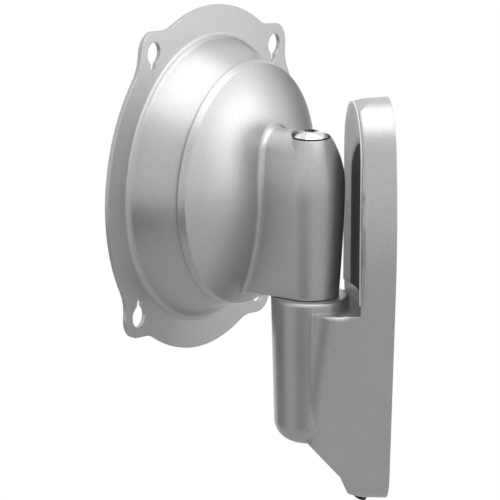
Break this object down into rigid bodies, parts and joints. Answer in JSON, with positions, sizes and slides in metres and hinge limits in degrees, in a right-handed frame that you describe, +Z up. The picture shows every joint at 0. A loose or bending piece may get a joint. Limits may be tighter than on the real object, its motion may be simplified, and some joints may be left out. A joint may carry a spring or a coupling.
{
  "type": "tv wall mount",
  "caption": "Swivelling wall mount for a small flat screen: a cast housing and column carry a domed head whose bowl-shaped faceplate tilts and rolls",
  "frame": {"origin": "middle of the wall plate's back face, on the wall, halfway between the two wall holes", "axes": "+Y points into the wall, the mount stands out along -Y, +Z is up, +X is to the right of someone facing the wall"},
  "size_m": [0.1746, 0.1814, 0.3174],
  "materials": {
    "silver_paint": "satin silver-grey metallic paint",
    "silver_paint_plate": "satin silver-grey metallic paint on pressed sheet",
    "dish_steel": "satin grey paint",
    "plate_steel": "zinc-plated sheet",
    "black_screw": "black oxide",
    "chrome_bolt": "bright chrome plate",
    "zinc_steel": "zinc plate",
    "zinc_nut": "zinc plate",
    "spring_steel": "oiled spring steel",
    "nylon_dark": "black nylon",
    "bush_bronze": "sintered bronze"
  },
  "bodies": {
    "wall_bracket": {"wall_housing": "silver_paint", "wall_plate": "plate_steel", "bottom_screw": "black_screw", "chin_set_screw": "black_screw", "pivot_bolt": "chrome_bolt", "bolt_washer": "zinc_steel", "thrust_washer": "nylon_dark", "pivot_disc_springs": "spring_steel", "pivot_nut_washer": "zinc_steel", "pivot_lock_nut": "zinc_nut"},
    "head": {"head_casting": "silver_paint", "upper_bushing": "bush_bronze", "lower_bushing": "bush_bronze", "lip_liner": "nylon_dark", "centre_stud": "zinc_steel", "seat_washer": "nylon_dark", "saddle_washer": "zinc_steel", "disc_springs": "spring_steel", "stud_washer": "zinc_steel", "stud_lock_nut": "zinc_nut"},
    "tilt_cradle": {"guide_dish": "dish_steel", "glide_ring": "nylon_dark"},
    "plate": {"faceplate": "silver_paint_plate"}
  },
  "joints": [
    {"name": "swivel", "type": "hinge", "parent": "wall_bracket", "child": "head", "pos_m": [0, -0.049, 0.0723], "axis": [0, 0, 1], "range_deg": [-10.4, 89.6]},
    {"name": "tilt", "type": "hinge", "parent": "head", "child": "tilt_cradle", "pos_m": [-0.0691, -0.13252, 0.0723], "axis": [0.7705, -0.6374, 0], "range_deg": [-5, 5]},
    {"name": "roll", "type": "hinge", "parent": "tilt_cradle", "child": "plate", "pos_m": [-0.0691, -0.13252, 0.0723], "axis": [0.6374, 0.7705, 0], "range_deg": [-3.4, 16.6]}
  ]
}
